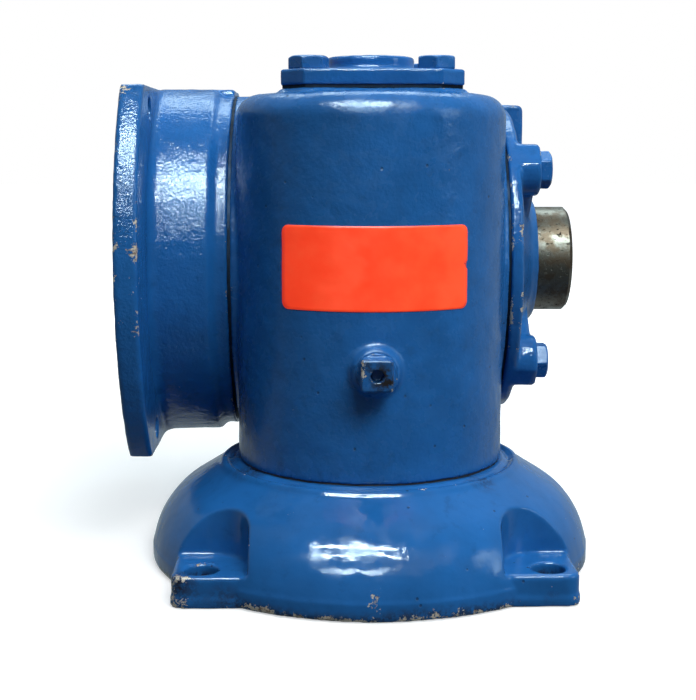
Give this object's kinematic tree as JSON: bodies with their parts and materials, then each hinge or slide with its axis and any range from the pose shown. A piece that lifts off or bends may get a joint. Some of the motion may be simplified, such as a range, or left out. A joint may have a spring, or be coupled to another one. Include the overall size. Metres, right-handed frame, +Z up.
{
  "type": "worm gearbox",
  "caption": "Right-angle worm gearbox: upright worm with hollow input below, horizontal hollow output shaft, side output flange and four-footed dome base.",
  "frame": {"origin": "on the underside of the feet, on the worm axis", "axes": "+Z up along the worm axis, +X along the output axis towards the bare shaft end, output axis at +Y"},
  "size_m": [0.2017, 0.2772, 0.2158],
  "materials": {
    "enamel": "glossy blue enamel with slight orange peel on a sand casting",
    "bolt_enamel": "blue enamel over hex and square steel heads",
    "gasket": "oiled paper gasket",
    "screw_steel": "plain steel",
    "shim_steel": "dark shim steel",
    "hardened_steel": "ground and hardened",
    "bronze": "machined bronze",
    "hub_iron": "machined cast iron",
    "shaft_steel": "turned steel, slightly tarnished",
    "bearing_steel": "polished bearing steel",
    "cage_steel": "pressed steel",
    "spring_steel": "blued spring steel",
    "seal_rubber": "black nitrile",
    "sticker": "plain fluorescent orange vinyl"
  },
  "bodies": {
    "casing": {"housing": "enamel", "housing_bearing_ring": "enamel", "base": "enamel", "base_gasket": "gasket", "base_screws": "screw_steel", "output_flange": "enamel", "output_flange_shims": "shim_steel", "output_flange_bolts": "screw_steel", "output_cover": "enamel", "output_cover_shims": "shim_steel", "output_cover_bolts": "bolt_enamel", "worm_cover": "enamel", "worm_cover_shims": "shim_steel", "worm_cover_bolts": "bolt_enamel", "sticker": "sticker", "level_plug": "bolt_enamel", "drain_plug": "bolt_enamel", "vent_plug": "bolt_enamel", "input_seal": "seal_rubber", "left_output_bearing_cup": "bearing_steel", "left_output_seal": "seal_rubber", "right_output_bearing_cup": "bearing_steel", "right_output_seal": "seal_rubber", "upper_worm_bearing_cup": "bearing_steel", "lower_worm_bearing_cup": "bearing_steel"},
    "output": {"output_shaft": "shaft_steel", "worm_wheel_rim": "bronze", "worm_wheel_hub": "hub_iron", "wheel_key": "screw_steel", "left_spacer": "screw_steel", "left_snap_ring": "spring_steel", "left_output_bearing_cone": "bearing_steel", "left_output_bearing_rollers": "bearing_steel", "left_output_bearing_cage": "cage_steel", "right_spacer": "screw_steel", "right_snap_ring": "spring_steel", "right_output_bearing_cone": "bearing_steel", "right_output_bearing_rollers": "bearing_steel", "right_output_bearing_cage": "cage_steel"},
    "worm": {"worm_shaft": "hardened_steel", "worm_locknut": "screw_steel", "upper_worm_bearing_cone": "bearing_steel", "upper_worm_bearing_rollers": "bearing_steel", "upper_worm_bearing_cage": "cage_steel", "lower_worm_bearing_cone": "bearing_steel", "lower_worm_bearing_rollers": "bearing_steel", "lower_worm_bearing_cage": "cage_steel"}
  },
  "joints": [
    {"name": "output_spin", "type": "hinge", "parent": "casing", "child": "output", "pos_m": [0, 0.0667, 0.1247], "axis": [1, 0, 0], "continuous": true},
    {"name": "worm_spin", "type": "hinge", "parent": "casing", "child": "worm", "pos_m": [0, 0, 0.1], "axis": [0, 0, 1], "continuous": true}
  ],
  "couplings": [
    {"joint": "worm_spin", "follows": "output_spin", "ratio": 30}
  ]
}
